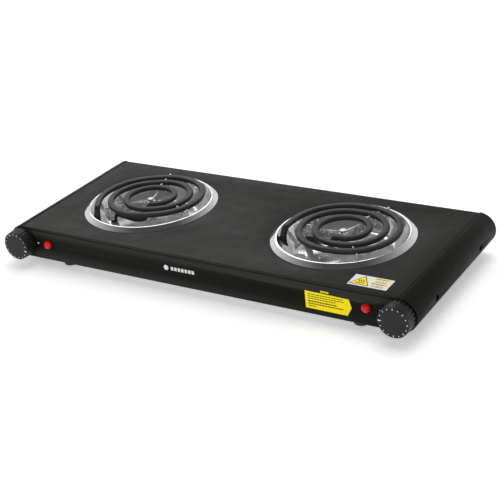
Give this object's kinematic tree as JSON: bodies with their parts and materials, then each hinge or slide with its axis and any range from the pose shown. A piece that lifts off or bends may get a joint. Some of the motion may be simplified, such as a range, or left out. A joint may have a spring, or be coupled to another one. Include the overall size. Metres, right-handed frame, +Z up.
{
  "type": "hot plate burner",
  "caption": "Low electric hot plate with spiral tube burners over chromed drip bowls, in a black sheet-steel case with half-round ends and a turning thermostat knob at each end.",
  "frame": {"origin": "on the table, under the middle of the object's footprint (knob faces to cord gland)", "axes": "+X along the case to its right end, +Y to its back, +Z up; the knobs face -Y"},
  "size_m": [0.54, 0.239, 0.0622],
  "materials": {
    "zinc_sheet": "zinc-coated sheet, dull spangle",
    "coil_sheath": "dark oxidised alloy sheath, satin",
    "support_zinc": "bright galvanised steel, spangled",
    "gland_plastic": "black nylon",
    "bowl_chrome": "bright chrome plate",
    "fastener_steel": "bright zinc-plated steel",
    "foot_rubber": "black moulded rubber",
    "case_paint": "fine-textured black powder coat",
    "shield_sheet": "thin bright aluminium",
    "knob_plastic": "fine-textured black phenolic",
    "lamp_plastic": "natural nylon",
    "lens_red": "clear red lens, glossy",
    "lead_white": "glass-braid insulation",
    "lead_blue": "silicone insulation",
    "lead_brown": "silicone insulation",
    "lead_black": "silicone insulation",
    "bush_ceramic": "unglazed steatite",
    "blade_brass": "plain brass",
    "thermostat_moulding": "unglazed steatite"
  },
  "bodies": {
    "housing": {"bottom_plate": "zinc_sheet", "coil_element_left": "coil_sheath", "coil_element_right": "coil_sheath", "coil_support_left": "support_zinc", "coil_support_right": "support_zinc", "cord_gland": "gland_plastic", "drip_bowl_left": "bowl_chrome", "drip_bowl_right": "bowl_chrome", "earth_stud": "fastener_steel", "foot_front_left": "foot_rubber", "foot_front_right": "foot_rubber", "foot_rear_left": "foot_rubber", "foot_rear_right": "foot_rubber", "foot_screws": "fastener_steel", "front_panel": "case_paint", "heat_shield_left": "shield_sheet", "heat_shield_right": "shield_sheet", "lamp_holder_left": "lamp_plastic", "lamp_holder_right": "lamp_plastic", "lamp_lens_left": "lens_red", "lamp_lens_right": "lens_red", "lead_lamp_left": "lead_white", "lead_lamp_right": "lead_white", "lead_return_left": "lead_blue", "lead_return_right": "lead_blue", "lead_supply_left": "lead_brown", "lead_supply_right": "lead_brown", "lead_switched_left": "lead_black", "lead_switched_right": "lead_black", "rear_panel": "case_paint", "side_cover_left": "case_paint", "side_cover_right": "case_paint", "side_rail_left": "zinc_sheet", "side_rail_right": "zinc_sheet", "side_screws": "fastener_steel", "support_bolt_left": "fastener_steel", "support_bolt_right": "fastener_steel", "terminal_block": "lamp_plastic", "terminal_block_screws": "fastener_steel", "terminal_bracket_left": "zinc_sheet", "terminal_bracket_right": "zinc_sheet", "terminal_bushes_left": "bush_ceramic", "terminal_bushes_right": "bush_ceramic", "terminal_pins_left": "fastener_steel", "terminal_pins_right": "fastener_steel", "thermostat_blades_left": "blade_brass", "thermostat_blades_right": "blade_brass", "thermostat_body_left": "thermostat_moulding", "thermostat_body_right": "thermostat_moulding", "thermostat_bracket_left": "zinc_sheet", "thermostat_bracket_right": "zinc_sheet", "thermostat_screws_left": "fastener_steel", "thermostat_screws_right": "fastener_steel", "top_plate": "case_paint"},
    "knob_left": {"knob_left": "knob_plastic", "thermostat_spindle_left": "fastener_steel"},
    "knob_right": {"knob_right": "knob_plastic", "thermostat_spindle_right": "fastener_steel"}
  },
  "joints": [
    {"name": "knob_left_turn", "type": "hinge", "parent": "housing", "child": "knob_left", "pos_m": [-0.25025, -0.1025, 0.02925], "axis": [0, 1, 0], "range_deg": [0, 300]},
    {"name": "knob_right_turn", "type": "hinge", "parent": "housing", "child": "knob_right", "pos_m": [0.25025, -0.1025, 0.02925], "axis": [0, 1, 0], "range_deg": [0, 300]}
  ]
}
